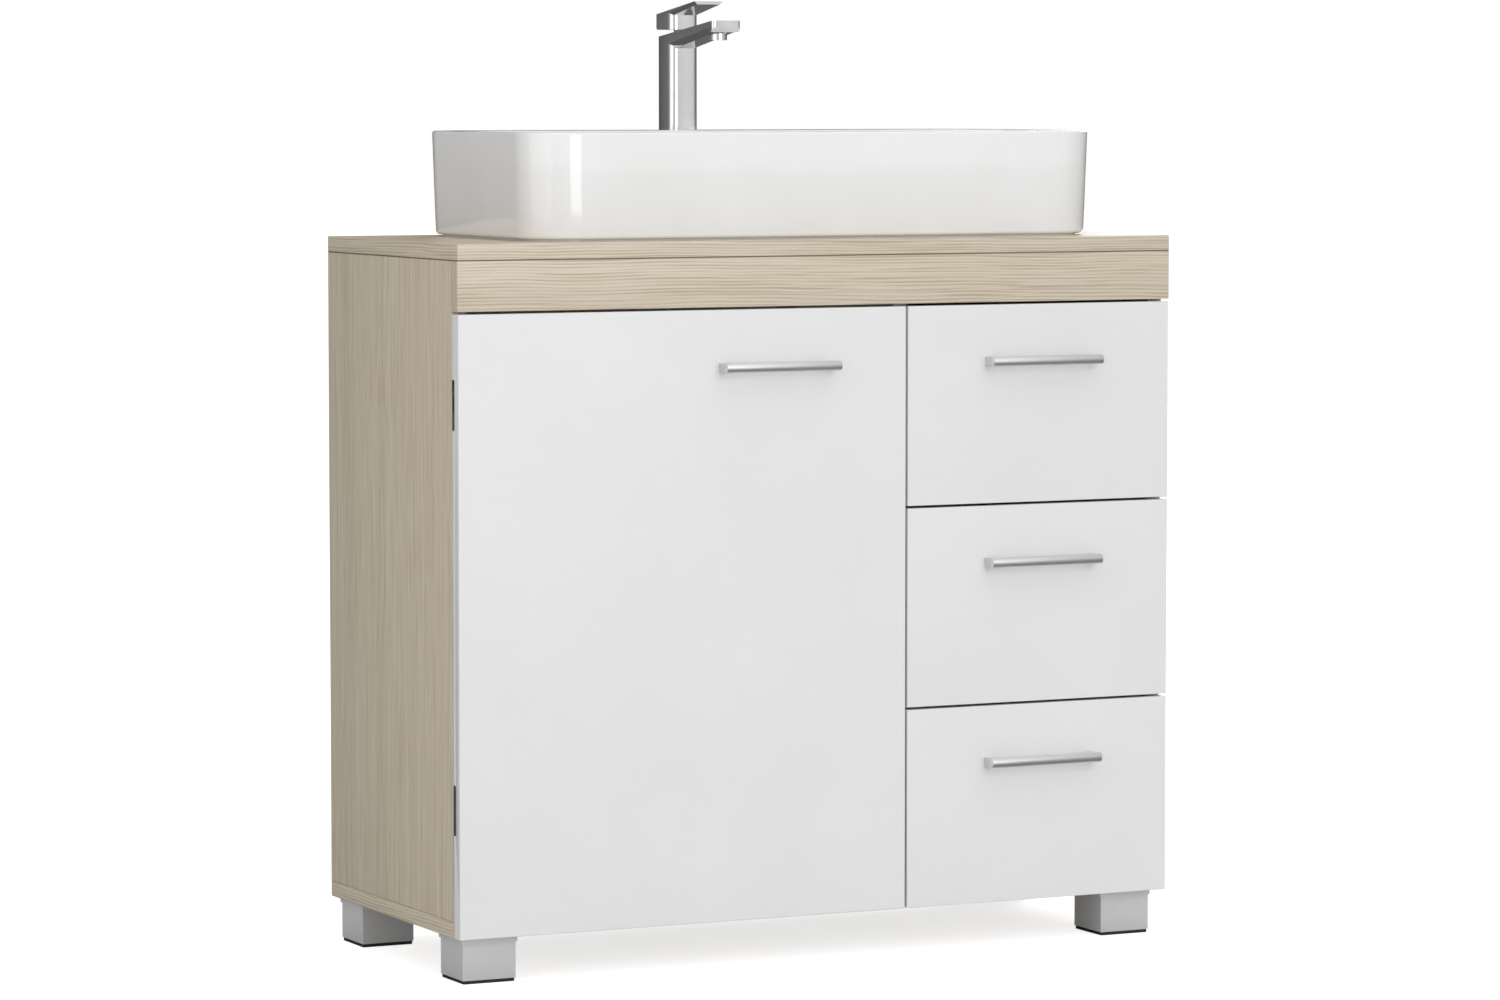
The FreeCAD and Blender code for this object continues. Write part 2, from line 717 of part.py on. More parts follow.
def build_cabinet():
    side_low = floor_z
    left = block(-half_width, -inner_x, carcass_y, back_y, side_low, under_top_z)
    right = block(inner_x, half_width, carcass_y, back_y, side_low, under_top_z)
    partition = block(partition_x, partition_x + board, carcass_y, back_y - rear_panel, side_low, under_top_z)
    bottom = block(-half_width, half_width, carcass_y, back_y, foot_height, floor_z)
    rail = make_rear_rail()
    frame_leaves = [make_frame_leaf(z) for z in hinge_centres()]
    leaf_screws = [part for z in hinge_centres() for part in make_frame_leaf_screws(z)]
    leaf_holes = Part.makeCompound(leaf_screws)
    panel_screws = make_panel_screws()
    driven = Part.makeCompound(panel_screws)
    pins = make_shelf_pins()
    pin_holes = Part.makeCompound(pins)
    bolts = [make_foot_bolt(x, y) for x, y in foot_centres()]
    bolt_holes = Part.makeCompound(bolts)

    save("countertop", make_countertop())
    save("apron_board", block(-half_width, half_width, front_y, carcass_y, apron_z, under_top_z))
    left = left.cut(driven).cut(pin_holes).cut(leaf_holes)
    for leaf in frame_leaves:
        left = left.cut(leaf)
    save("side_panel_left", left)
    save("side_panel_right", right.cut(driven))
    save("partition_panel", partition.cut(rail).cut(driven).cut(pin_holes))
    save("bottom_board", bottom.cut(driven).cut(bolt_holes))
    save("rear_rail", rail)
    save("back_panel", make_back_panel())
    save("shelf", make_shelf())
    save("shelf_pins", *pins)
    save("panel_screws", *panel_screws)
    save("feet", *[make_foot(x, y).cut(bolt_holes) for x, y in foot_centres()])
    save("foot_pads", *[make_foot_pad(x, y) for x, y in foot_centres()])
    save("foot_bolts", *bolts)
    save("hinge_frame_leaves", *[leaf.cut(leaf_holes) for leaf in frame_leaves])
    save("hinge_frame_screws", *leaf_screws)
    save("hinge_pins", *[make_hinge_pin(z) for z in hinge_centres()])
    save("cabinet_runners", *[make_cabinet_runner(wall, inward, number)
                              for number in (1, 2, 3) for wall, inward in runner_walls()])
    save("door_catch", make_door_catch())


def build_door():
    leaf_screws = [part for z in hinge_centres() for part in make_door_leaf_screws(z)]
    holes = Part.makeCompound(leaf_screws)
    save("door_panel", make_door_panel())
    save("door_handle", make_handle(door_handle_x, apron_z - front_gap - handle_drop))
    save("door_hinge_leaves", *[make_door_leaf(z).cut(holes) for z in hinge_centres()])
    save("door_hinge_screws", *leaf_screws)
    save("door_strike", make_door_strike())


def build_drawers():
    middle = (split_x + front_gap / 2 + half_width - 0.5) / 2
    for number in (1, 2, 3):
        name = "drawer_" + str(number)
        top = front_bottom(number) + fronts_pitch - front_gap
        save(name + "_front", make_drawer_front(number))
        save(name + "_box", *make_drawer_box(number))
        save(name + "_floor", make_drawer_floor(number))
        save(name + "_handle", make_handle(middle, top - handle_drop))
        save(name + "_rails", *[make_drawer_rail(wall, inward, number) for wall, inward in runner_walls()])


def build_basin_and_waste():
    inlet, body, cup, outlet, nuts = make_trap_parts()
    save("basin", make_basin())
    save("drain_flange", make_drain_flange())
    save("drain_body", make_drain_body().cut(make_drain_flange()))
    save("drain_seals", *make_drain_seals())
    save("drain_nut", make_drain_nut())
    save("drain_plug", make_drain_plug())
    save("trap_inlet_pipe", inlet)
    save("trap_body", body)
    save("trap_cup", cup)
    save("trap_outlet_pipe", outlet)
    save("trap_nuts", *nuts)


def build_faucet():
    grub = make_set_screw()
    save("faucet_body", make_faucet_body())
    save("faucet_aerator", make_aerator())
    save("faucet_cartridge", make_cartridge())
    save("cartridge_collar", make_cartridge_collar())
    save("faucet_stud", make_shank())
    save("faucet_clamp_plate", make_clamp_plate())
    save("faucet_clamp_nut", make_clamp_nut())
    save("lever_stem", make_lever_stem())
    save("lever_handle", make_lever_handle().cut(grub))
    save("lever_set_screw", grub)


os.makedirs("parts", exist_ok=True)
build_cabinet()
build_door()
build_drawers()
build_basin_and_waste()
build_faucet()
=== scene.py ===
import math

import bmesh
import bpy
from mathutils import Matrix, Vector


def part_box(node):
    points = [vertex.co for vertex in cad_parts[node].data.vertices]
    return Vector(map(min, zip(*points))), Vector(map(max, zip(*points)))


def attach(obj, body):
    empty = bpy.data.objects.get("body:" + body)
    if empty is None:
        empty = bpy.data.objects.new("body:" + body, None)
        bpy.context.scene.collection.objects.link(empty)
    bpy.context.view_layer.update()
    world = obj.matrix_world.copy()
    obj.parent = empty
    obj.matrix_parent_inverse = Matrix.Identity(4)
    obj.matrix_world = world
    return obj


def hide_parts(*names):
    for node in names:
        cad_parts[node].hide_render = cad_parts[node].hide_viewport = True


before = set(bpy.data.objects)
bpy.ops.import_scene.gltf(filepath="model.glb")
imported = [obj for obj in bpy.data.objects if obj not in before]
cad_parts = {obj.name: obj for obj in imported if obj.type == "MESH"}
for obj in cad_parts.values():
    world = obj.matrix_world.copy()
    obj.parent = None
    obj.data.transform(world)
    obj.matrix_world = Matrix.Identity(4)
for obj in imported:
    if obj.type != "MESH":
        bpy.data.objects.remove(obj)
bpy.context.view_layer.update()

print("frame loaded:", len(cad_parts), "nodes")


# Camera, light and floor

cameraSetup = {
    "place": (-2.4928, -5.0909, 0.8791),
    "pitch": -4.257,         # degrees, below the horizon
    "turn": -26.041,         # degrees, towards +X
    "lens": 132.0,           # millimetres
    "sensor": 36.0,
    "farthest": 60.0,
}

softboxes = {
    # name: (place, width, height, watts, the point it faces)
    "topSoftbox": ((0.3, -0.9, 3.2), 2.6, 2.6, 9.0, (0, 0, 0.6)),
    "frontSoftbox": ((0.15, -3.6, 1.3), 1.6, 2.4, 32.0, (0, 0, 0.7)),
    "leftSoftbox": ((-3.3, -1.0, 1.0), 3.2, 3.2, 20.0, (0, 0, 0.4)),
    "rearSoftbox": ((2.9, 3.0, 2.2), 1.6, 1.6, 55.0, (0, 0, 0.5)),
}

roomSetup = {
    "viewWay": (0.44, 0.90, 0.0),   # the tones run along this way, from behind the camera
    "tones": [(0.0, 0.60), (0.12, 0.63), (0.19, 0.76), (0.26, 0.70), (0.40, 0.54), (0.65, 0.24),
              (0.81, 0.15), (0.90, 0.03)],
    "sky": 0.26,             # extra from above
    "skyStart": 0.2,         # how far up the extra begins, 1 being straight up
    "backdrop": 1.0,         # seen directly
}

floorSetup = {
    "size": 60.0,
    "seen": 0.80,            # grey, seen directly
    "glow": 0.72,            # keeps the shadow on the floor faint
    "roughness": 0.8,
    "specular": 0.1,
    "bounced": 0.70,         # grey for the light it throws back up
    "mirrored": 0.13,        # grey in glaze and chrome
}


def setCamera():
    lens = bpy.data.cameras.new("camera")
    lens.lens = cameraSetup["lens"]
    lens.sensor_width = cameraSetup["sensor"]
    lens.clip_end = cameraSetup["farthest"]
    camera = bpy.data.objects.new("camera", lens)
    camera.location = cameraSetup["place"]
    pitch = math.radians(90 + cameraSetup["pitch"])
    camera.rotation_euler = (pitch, 0, math.radians(cameraSetup["turn"]))
    bpy.context.scene.collection.objects.link(camera)
    bpy.context.scene.camera = camera


def addSoftbox(name, place, width, height, watts, aim):
    glow = bpy.data.lights.new(name, "AREA")
    glow.shape = "RECTANGLE"
    glow.size = width
    glow.size_y = height
    glow.energy = watts
    lamp = bpy.data.objects.new(name, glow)
    lamp.location = place
    lamp.rotation_euler = (Vector(aim) - Vector(place)).to_track_quat("-Z", "Y").to_euler()
    bpy.context.scene.collection.objects.link(lamp)


def grey(tone):
    return (tone, tone, tone, 1)


def setRoom():
    # A plain studio: bright behind the camera, dim beyond the object, white where the camera
    # looks past it.
    room = bpy.data.worlds.new("studio")
    bpy.context.scene.world = room
    room.use_nodes = True
    wires = room.node_tree.links
    add = room.node_tree.nodes.new
    background = room.node_tree.nodes["Background"]
    background.inputs["Color"].default_value = (1, 1, 1, 1)
    look = add("ShaderNodeTexCoord")
    along = add("ShaderNodeVectorMath")
    along.operation = "DOT_PRODUCT"
    along.inputs[1].default_value = roomSetup["viewWay"]
    wires.new(look.outputs["Generated"], along.inputs[0])
    half = add("ShaderNodeMapRange")
    half.inputs["From Min"].default_value = -1.0
    wires.new(along.outputs["Value"], half.inputs["Value"])
    tones = add("ShaderNodeValToRGB")
    while len(tones.color_ramp.elements) < len(roomSetup["tones"]):
        tones.color_ramp.elements.new(1.0)
    for stop, (place, tone) in zip(tones.color_ramp.elements, roomSetup["tones"]):
        stop.position = place
        stop.color = grey(tone)
    wires.new(half.outputs[0], tones.inputs[0])
    split = add("ShaderNodeSeparateXYZ")
    wires.new(look.outputs["Generated"], split.inputs[0])
    sky = add("ShaderNodeMapRange")
    sky.interpolation_type = "SMOOTHSTEP"
    sky.inputs["From Min"].default_value = roomSetup["skyStart"]
    sky.inputs["To Max"].default_value = roomSetup["sky"]
    wires.new(split.outputs["Z"], sky.inputs["Value"])
    total = add("ShaderNodeMath")
    wires.new(tones.outputs[0], total.inputs[0])
    wires.new(sky.outputs[0], total.inputs[1])
    seen = add("ShaderNodeLightPath")
    pick = add("ShaderNodeMix")
    wires.new(seen.outputs["Is Camera Ray"], pick.inputs["Factor"])
    wires.new(total.outputs[0], pick.inputs["A"])
    pick.inputs["B"].default_value = roomSetup["backdrop"]
    wires.new(pick.outputs["Result"], background.inputs["Strength"])


def setFloor():
    # Pale to the eye, but dimmer in reflections, as a studio sweep is beyond its lit patch.
    bpy.ops.mesh.primitive_plane_add(size=floorSetup["size"], location=(0, 0, 0))
    floor = bpy.context.object
    floor.name = "floor"
    paint = bpy.data.materials.new("paleFloor")
    paint.use_nodes = True
    nodes, wires = paint.node_tree.nodes, paint.node_tree.links
    surface = nodes["Principled BSDF"]
    surface.inputs["Base Color"].default_value = grey(floorSetup["seen"])
    surface.inputs["Roughness"].default_value = floorSetup["roughness"]
    surface.inputs["Specular IOR Level"].default_value = floorSetup["specular"]
    surface.inputs["Emission Color"].default_value = grey(1)
    surface.inputs["Emission Strength"].default_value = floorSetup["glow"]
    dim = nodes.new("ShaderNodeBsdfDiffuse")
    dim.inputs["Color"].default_value = grey(floorSetup["bounced"])
    mirrored = nodes.new("ShaderNodeBsdfDiffuse")
    mirrored.inputs["Color"].default_value = grey(floorSetup["mirrored"])
    seen = nodes.new("ShaderNodeLightPath")
    unseen = nodes.new("ShaderNodeMixShader")
    wires.new(seen.outputs["Is Glossy Ray"], unseen.inputs[0])
    wires.new(dim.outputs[0], unseen.inputs[1])
    wires.new(mirrored.outputs[0], unseen.inputs[2])
    mix = nodes.new("ShaderNodeMixShader")
    wires.new(seen.outputs["Is Camera Ray"], mix.inputs[0])
    wires.new(unseen.outputs[0], mix.inputs[1])
    wires.new(surface.outputs[0], mix.inputs[2])
    wires.new(mix.outputs[0], nodes["Material Output"].inputs["Surface"])
    floor.data.materials.append(paint)


setCamera()
setRoom()
setFloor()
for name, settings in softboxes.items():
    addSoftbox(name, *settings)
bpy.context.scene.view_settings.view_transform = "Standard"
print("camera, lights and floor set")


# Shader sums

class Wire:
    # One output of a material's node. A sum on wires adds a Math node.
    def __init__(self, finish, socket):
        self.finish = finish
        self.socket = socket

    def sum(self, how, first, second):
        return self.finish.add("ShaderNodeMath", {"operation": how}, {0: first, 1: second})

    def __add__(self, other):
        return self.sum("ADD", self, other)

    def __radd__(self, other):
        return self.sum("ADD", other, self)

    def __sub__(self, other):
        return self.sum("SUBTRACT", self, other)

    def __rsub__(self, other):
        return self.sum("SUBTRACT", other, self)

    def __mul__(self, other):
        return self.sum("MULTIPLY", self, other)

    def __rmul__(self, other):
        return self.sum("MULTIPLY", other, self)


class Finish:
    # A material: its Principled surface plus the nodes that vary it.
    def __init__(self, name, **fixed):
        self.material = bpy.data.materials.new(name)
        self.material.use_nodes = True
        self.tree = self.material.node_tree
        self.surface = self.tree.nodes["Principled BSDF"]
        for socket, value in fixed.items():
            self.surface.inputs[socket.replace("_", " ")].default_value = value

    def feed(self, socket, value):
        if isinstance(value, Wire):
            self.tree.links.new(value.socket, socket)
        elif isinstance(value, tuple) and len(value) == 3 and socket.type == "RGBA":
            socket.default_value = (*value, 1.0)
        else:
            socket.default_value = value

    def add(self, kind, settings=None, inputs=None, output=0):
        node = self.tree.nodes.new(kind)
        for key, value in (settings or {}).items():
            if key == "stops":
                self.setStops(node.color_ramp, value)
            else:
                setattr(node, key, value)
        for key, value in (inputs or {}).items():
            self.feed(node.inputs[key], value)
        return Wire(self, node.outputs[output])

    def setStops(self, ramp, stops):
        while len(ramp.elements) < len(stops):
            ramp.elements.new(1.0)
        for element, (place, colour) in zip(ramp.elements, stops):
            element.position = place
            element.color = (*colour, 1.0) if isinstance(colour, tuple) else grey(colour)

    def place(self, scale=(1, 1, 1)):
        where = self.add("ShaderNodeTexCoord", output="Object")
        return self.add("ShaderNodeMapping", {}, {"Vector": where, "Scale": scale})

    def noise(self, where, scale, detail, roughness=0.55):
        return self.add("ShaderNodeTexNoise", {},
                        {"Vector": where, "Scale": scale, "Detail": detail, "Roughness": roughness})

    def ramp(self, value, stops):
        return self.add("ShaderNodeValToRGB", {"stops": stops}, {0: value})

    def blend(self, first, second, amount):
        # Sockets 6, 7 and 2 are the colour ones.
        return self.add("ShaderNodeMix", {"data_type": "RGBA"},
                        {0: amount, 6: first, 7: second}, 2)

    def shine(self, roughness):
        self.feed(self.surface.inputs["Roughness"], roughness)

    def colour(self, value):
        self.feed(self.surface.inputs["Base Color"], value)

    def relief(self, height, depth, strength):
        bump = self.add("ShaderNodeBump", {},
                        {"Height": height, "Distance": depth, "Strength": strength})
        self.feed(self.surface.inputs["Normal"], bump)


# Finishes

ashSetup = {
    "light": (0.705, 0.626, 0.508),
    "middle": (0.642, 0.556, 0.432),
    "dark": (0.490, 0.404, 0.294),
    "wander": 0.009,         # how far a grain line strays sideways, in metres
    "driftScale": 9.0,       # how soon it turns back
    "driftStretch": 0.45,
    "ringScale": 520.0,      # growth lines two to three millimetres apart
    "bandScale": 70.0,
    "waveScale": 190.0,
    "waveWarp": 7.0,
    "ringStretch": 0.012,    # the smaller, the longer a line runs
    "poreScale": 1500.0,
    "poreStretch": 0.03,
    "shares": (0.64, 0.20, 0.16),    # rings, waves and bands in the grain
    "lineStops": [(0.34, 0.0), (0.47, 0.50), (0.62, 1.0)],
    "poreStops": [(0.58, 0.0), (0.74, 1.0)],
    "poreDepth": 0.25,
    "shadedSeams": ((0.714, 1.0), (0.063, 0.3)),   # height of each joint and how dark the painted shade in its gap is
    "seamInner": 0.00042,    # a joint is darkest within this of its middle
    "seamOuter": 0.00112,    # and gone beyond this
    # colour of the painted shade in the joints
    "seamShadeTone": (0.10, 0.078, 0.055),
    "seamShadeDepth": 0.75,
    "roughness": 0.44,
    "bumpDepth": 0.00012,
    "bumpStrength": 0.35,
}


def alongGrain(axis, ratio):
    # A scale that draws a pattern out along one axis.
    scale = [1.0, 1.0, 1.0]
    scale[axis] = ratio
    return tuple(scale)


def seamShadeMask(finish, where):
    # Painted shade: dark lines at the heights where two boards meet, for the shadow in the narrow
    # gap between them.
    height = finish.add("ShaderNodeSeparateXYZ", {}, {0: where}, "Z")
    mask = 0.0
    for seam, depth in ashSetup["shadedSeams"]:
        away = finish.add("ShaderNodeMath", {"operation": "ABSOLUTE"}, {0: height - seam})
        near = finish.add("ShaderNodeMapRange", {"interpolation_type": "SMOOTHSTEP"},
                          {"Value": away, "From Min": ashSetup["seamOuter"],
                           "From Max": ashSetup["seamInner"]})
        mask = near * depth + mask
    return mask


def ashLaminate(name, axis):
    # Printed ash: wavering growth lines, paler bands and short dark pores, all along one axis, with
    # painted shade along the joints between boards.
    setup = ashSetup
    finish = Finish(name, IOR=1.45)
    where = finish.place()
    drift = finish.add("ShaderNodeTexNoise", {},
                       {"Vector": finish.place(alongGrain(axis, setup["driftStretch"])),
                        "Scale": setup["driftScale"], "Detail": 2.0}, "Color")
    sideways = tuple(0.0 if k == axis else setup["wander"] for k in range(3))
    wavy = finish.add("ShaderNodeVectorMath", {"operation": "MULTIPLY_ADD"},
                      {0: drift, 1: sideways, 2: where})
    rings = finish.add("ShaderNodeMapping", {},
                       {"Vector": wavy, "Scale": alongGrain(axis, setup["ringStretch"])})
    fine = finish.add("ShaderNodeMapping", {},
                      {"Vector": wavy, "Scale": alongGrain(axis, setup["poreStretch"])})
    ring = finish.noise(rings, setup["ringScale"], 3.0, 0.6)
    band = finish.noise(rings, setup["bandScale"], 2.0)
    wave = finish.add("ShaderNodeTexWave", {"bands_direction": "DIAGONAL"},
                      {"Vector": rings, "Scale": setup["waveScale"],
                       "Distortion": setup["waveWarp"], "Detail": 3.0, "Detail Scale": 0.35,
                       "Detail Roughness": 0.6})
    pore = finish.ramp(finish.noise(fine, setup["poreScale"], 2.0, 0.5), setup["poreStops"])
    ringShare, waveShare, bandShare = setup["shares"]
    lines = finish.ramp(ring * ringShare + wave * waveShare + band * bandShare, setup["lineStops"])
    tones = [(0.0, setup["dark"]), (0.50, setup["middle"]), (1.0, setup["light"])]
    tone = finish.ramp(lines, tones)
    grained = finish.blend(tone, setup["dark"], pore * setup["poreDepth"])
    # Painted shade: the boards' joints are darkened for the shadow in their gaps.
    seam = seamShadeMask(finish, where)
    finish.colour(finish.blend(grained, setup["seamShadeTone"], seam * setup["seamShadeDepth"]))
    finish.shine(setup["roughness"] + pore * 0.14 - lines * 0.05 + seam * 0.2)
    finish.relief(lines * 0.4 - pore * 0.6, setup["bumpDepth"], setup["bumpStrength"])
    return finish.material


melamineSetup = {
    "dark": (0.60, 0.585, 0.55),
    "light": (0.74, 0.725, 0.69),
    "stretch": 0.25,         # upright flecks
    "fleckScale": 520.0,
    "cloudScale": 9.0,
    "roughness": 0.48,
    "bumpDepth": 0.00006,
}


def innerMelamine():
    # Pale board inside the cabinet and the drawers, with a faint printed fleck.
    setup = melamineSetup
    finish = Finish("innerMelamine")
    where = finish.place(alongGrain(2, setup["stretch"]))
    fleck = finish.noise(where, setup["fleckScale"], 3.0, 0.6)
    cloud = finish.noise(where, setup["cloudScale"], 2.0)
    tones = [(0.30, setup["dark"]), (0.70, setup["light"])]
    finish.colour(finish.ramp(fleck * 0.6 + cloud * 0.4, tones))
    finish.shine(setup["roughness"] + fleck * 0.12)
    finish.relief(fleck, setup["bumpDepth"], 0.3)
    return finish.material


foilSetup = {
    "dark": (0.825, 0.827, 0.830),
    "light": (0.855, 0.856, 0.858),
    "peelScale": 900.0,
    "hazeScale": 6.0,
    "roughness": 0.31,
    "bumpDepth": 0.00004,
}


def whiteFoil():
    # Satin white fronts: faint orange peel and a trace of handling marks in the gloss.
    setup = foilSetup
    finish = Finish("whiteFoil", IOR=1.46)
    where = finish.place()
    peel = finish.noise(where, setup["peelScale"], 2.0, 0.5)
    haze = finish.noise(where, setup["hazeScale"], 3.0)
    finish.colour(finish.ramp(haze, [(0.25, setup["dark"]), (0.75, setup["light"])]))
    finish.shine(setup["roughness"] + haze * 0.10 + peel * 0.04)
    finish.relief(peel, setup["bumpDepth"], 0.25)
    return finish.material


brushSetup = {
    "stretch": 0.02,
    "lineScale": 2600.0,
    "patchScale": 60.0,
    "shade": 0.86,           # the darker lines, against the brighter
    "bumpDepth": 0.00003,
}


def brushedMetal(name, axis, tone, low, high, metal=1.0):
    # Fine lines drawn along one axis. Low and high are the ends of its roughness.
    setup = brushSetup
    finish = Finish(name, Metallic=metal)
    where = finish.place(alongGrain(axis, setup["stretch"]))
    line = finish.noise(where, setup["lineScale"], 3.0, 0.6)
    patch = finish.noise(where, setup["patchScale"], 2.0)
    dim = tuple(setup["shade"] * part for part in tone)
    finish.colour(finish.ramp(line * 0.6 + patch * 0.4, [(0.25, dim), (0.75, tone)]))
    finish.shine(low + line * (high - low))
    finish.relief(line, setup["bumpDepth"], 0.3)
    return finish.material


footPaint = {
    "dark": (0.72, 0.725, 0.73),
    "light": (0.80, 0.805, 0.81),
    "fleckScale": 2200.0,
    "cloudScale": 25.0,
    "roughness": 0.38,
    "bumpDepth": 0.00003,
}


def footSilver():
    # Silver paint on moulded plastic: a fine metallic fleck over a soft sheen.
    setup = footPaint
    finish = Finish("footSilver", Metallic=0.15, Coat_Weight=0.12, Coat_Roughness=0.35)
    where = finish.place()
    fleck = finish.noise(where, setup["fleckScale"], 2.0, 0.7)
    cloud = finish.noise(where, setup["cloudScale"], 2.0)
    tones = [(0.3, setup["dark"]), (0.7, setup["light"])]
    finish.colour(finish.ramp(fleck * 0.5 + cloud * 0.5, tones))
    finish.shine(setup["roughness"] + fleck * 0.12)
    finish.relief(fleck, setup["bumpDepth"], 0.25)
    return finish.material


def moulded(name, tone, roughness, grain=700.0, depth=0.00005):
    # Moulded plastic or rubber with a slight texture.
    finish = Finish(name)
    where = finish.place()
    speck = finish.noise(where, grain, 3.0, 0.6)
    cloud = finish.noise(where, 30.0, 2.0)
    dim = tuple(0.85 * part for part in tone)
    finish.colour(finish.ramp(speck * 0.4 + cloud * 0.6, [(0.3, dim), (0.7, tone)]))
    finish.shine(roughness + speck * 0.12)
    finish.relief(speck, depth, 0.35)
    return finish.material


glazeSetup = {
    "dark": (0.890, 0.890, 0.885),
    "light": (0.92, 0.92, 0.92),
    "poolScale": 14.0,
    "pinScale": 420.0,
    "roughness": 0.07,
    "bumpDepth": 0.0004,
}


def glazedWhite():
    # Fired glaze: deep gloss, a barely uneven surface and a hint of warmth where it pools.
    setup = glazeSetup
    finish = Finish("glazedWhite", IOR=1.52, Coat_Weight=0.55, Coat_Roughness=0.03, Coat_IOR=1.5)
    where = finish.place()
    pool = finish.noise(where, setup["poolScale"], 2.0, 0.5)
    pin = finish.noise(where, setup["pinScale"], 2.0, 0.6)
    finish.colour(finish.ramp(pool, [(0.3, setup["dark"]), (0.7, setup["light"])]))
    finish.shine(setup["roughness"] + pool * 0.05 + pin * 0.02)
    finish.relief(pool * 0.8 + pin * 0.05, setup["bumpDepth"], 0.12)
    return finish.material


chromeSetup = {
    "dark": (0.80, 0.805, 0.81),
    "light": (0.88, 0.885, 0.89),
    "hazeScale": 55.0,
    "spotScale": 380.0,
    "spotStops": [(0.60, 0.0), (0.74, 1.0)],
    "roughness": 0.055,
    "bumpDepth": 0.00002,
}


def polishedChrome():
    # Bright plating with water haze in the gloss.
    setup = chromeSetup
    finish = Finish("polishedChrome", Metallic=1.0)
    where = finish.place()
    haze = finish.noise(where, setup["hazeScale"], 3.0, 0.6)
    spot = finish.ramp(finish.noise(where, setup["spotScale"], 2.0), setup["spotStops"])
    finish.colour(finish.ramp(haze, [(0.3, setup["dark"]), (0.7, setup["light"])]))
    finish.shine(setup["roughness"] + haze * 0.06 + spot * 0.06)
    finish.relief(haze, setup["bumpDepth"], 0.05)
    return finish.material


finishes = {
    "ashAlongX": ashLaminate("ashAlongX", 0),
    "ashAlongY": ashLaminate("ashAlongY", 1),
    "ashUpright": ashLaminate("ashUpright", 2),
    "innerMelamine": innerMelamine(),
    "whiteFoil": whiteFoil(),
    "satinAluminium": brushedMetal("satinAluminium", 0, (0.78, 0.78, 0.785), 0.38, 0.50, 0.85),
    "footSilver": footSilver(),
    "blackRubber": moulded("blackRubber", (0.022, 0.022, 0.024), 0.62),
    "zincSteel": brushedMetal("zincSteel", 1, (0.66, 0.67, 0.68), 0.28, 0.46),
    # The hinge steel is toned far darker than zinc steel: painted shade, so that the hinge in its
    # slit reads as shaded.
    "shadedHingeSteel": brushedMetal("shadedHingeSteel", 2, (0.17, 0.17, 0.175), 0.34, 0.50),
    "greyPlastic": moulded("greyPlastic", (0.30, 0.30, 0.31), 0.42),
    "trapWhite": moulded("trapWhite", (0.83, 0.83, 0.82), 0.24, 300.0, 0.00003),
    "machinedBrass": brushedMetal("machinedBrass", 2, (0.78, 0.62, 0.34), 0.22, 0.36),
    "glazedWhite": glazedWhite(),
    "polishedChrome": polishedChrome(),
}
print("finishes made:", len(finishes))


# Finishes on the parts that keep their machined shape

keptFinishes = {
    "innerMelamine": ["rear_rail", "back_panel", "drawer_1_box", "drawer_2_box", "drawer_3_box",
                      "drawer_1_floor", "drawer_2_floor", "drawer_3_floor"],
    "zincSteel": ["shelf_pins", "panel_screws", "foot_bolts", "cabinet_runners", "drawer_1_rails",
                  "drawer_2_rails", "drawer_3_rails", "faucet_stud", "faucet_clamp_plate",
                  "lever_set_screw", "door_strike", "hinge_frame_screws", "door_hinge_screws"],
    "greyPlastic": ["door_catch"],
    "machinedBrass": ["faucet_clamp_nut"],
}


def dressKeptNodes():
    for finishName, names in keptFinishes.items():
        for name in names:
            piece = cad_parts[name]
            piece.data.materials.clear()
            piece.data.materials.append(finishes[finishName])


dressKeptNodes()
print("kept parts dressed")


# Bench tools

tiny = 0.00001           # places nearer than this, in metres, count as the same
sharpFold = 0.3          # edges that turn by less than this, in radians, count as flat
squarely = 0.75          # a face looks along an axis when its normal has more than this on it
copySetup = {
    "mergeWithin": 0.000002,
    "flatWithin": 0.6,       # degrees
}
# Every piece's "crisp" is the fold, in degrees, above which its edges aren't smoothed over.


def putDown():
    if bpy.context.mode != "OBJECT":
        bpy.ops.object.mode_set(mode="OBJECT")
    bpy.ops.object.select_all(action="DESELECT")


def pickUp(piece):
    putDown()
    piece.select_set(True)
    bpy.context.view_layer.objects.active = piece


def settle():
    bpy.ops.object.transform_apply(location=True, rotation=True, scale=True)


def startBox(name, low, high):
    putDown()
    low, high = Vector(low), Vector(high)
    bpy.ops.mesh.primitive_cube_add(size=1, location=(low + high) / 2)
    piece = bpy.context.object
    piece.name = name
    piece.scale = high - low
    settle()
    return piece


def startRound(name, foot, radius, height, sides=64):
    # A cylinder standing on the point foot.
    putDown()
    middle = Vector(foot) + Vector((0, 0, height / 2))
    bpy.ops.mesh.primitive_cylinder_add(vertices=sides, radius=radius, depth=height,
                                        location=middle)
    piece = bpy.context.object
    piece.name = name
    settle()
    return piece


def twinOf(piece, name, way):
    # A second one, with a mesh of its own, moved by the given way.
    pickUp(piece)
    bpy.ops.object.duplicate(linked=False)
    twin = bpy.context.object
    twin.name = name
    bpy.ops.transform.translate(value=way)
    settle()
    return twin


def copyOf(nodeName, pieceName):
    # A merged copy of a machined part, its flat faces joined up so that its edges can be eased.
    piece = bpy.data.objects.new(pieceName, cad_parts[nodeName].data.copy())
    bpy.context.scene.collection.objects.link(piece)
    openUp(piece, "VERT")
    bpy.ops.mesh.select_all(action="SELECT")
    bpy.ops.mesh.remove_doubles(threshold=copySetup["mergeWithin"])
    bpy.ops.mesh.dissolve_limited(angle_limit=math.radians(copySetup["flatWithin"]))
    putDown()
    return piece


def openUp(piece, kind):
    # Opens a piece in edit mode with nothing selected.
    pickUp(piece)
    bpy.ops.object.mode_set(mode="EDIT")
    bpy.ops.mesh.select_mode(type=kind)
    bpy.ops.mesh.select_all(action="DESELECT")


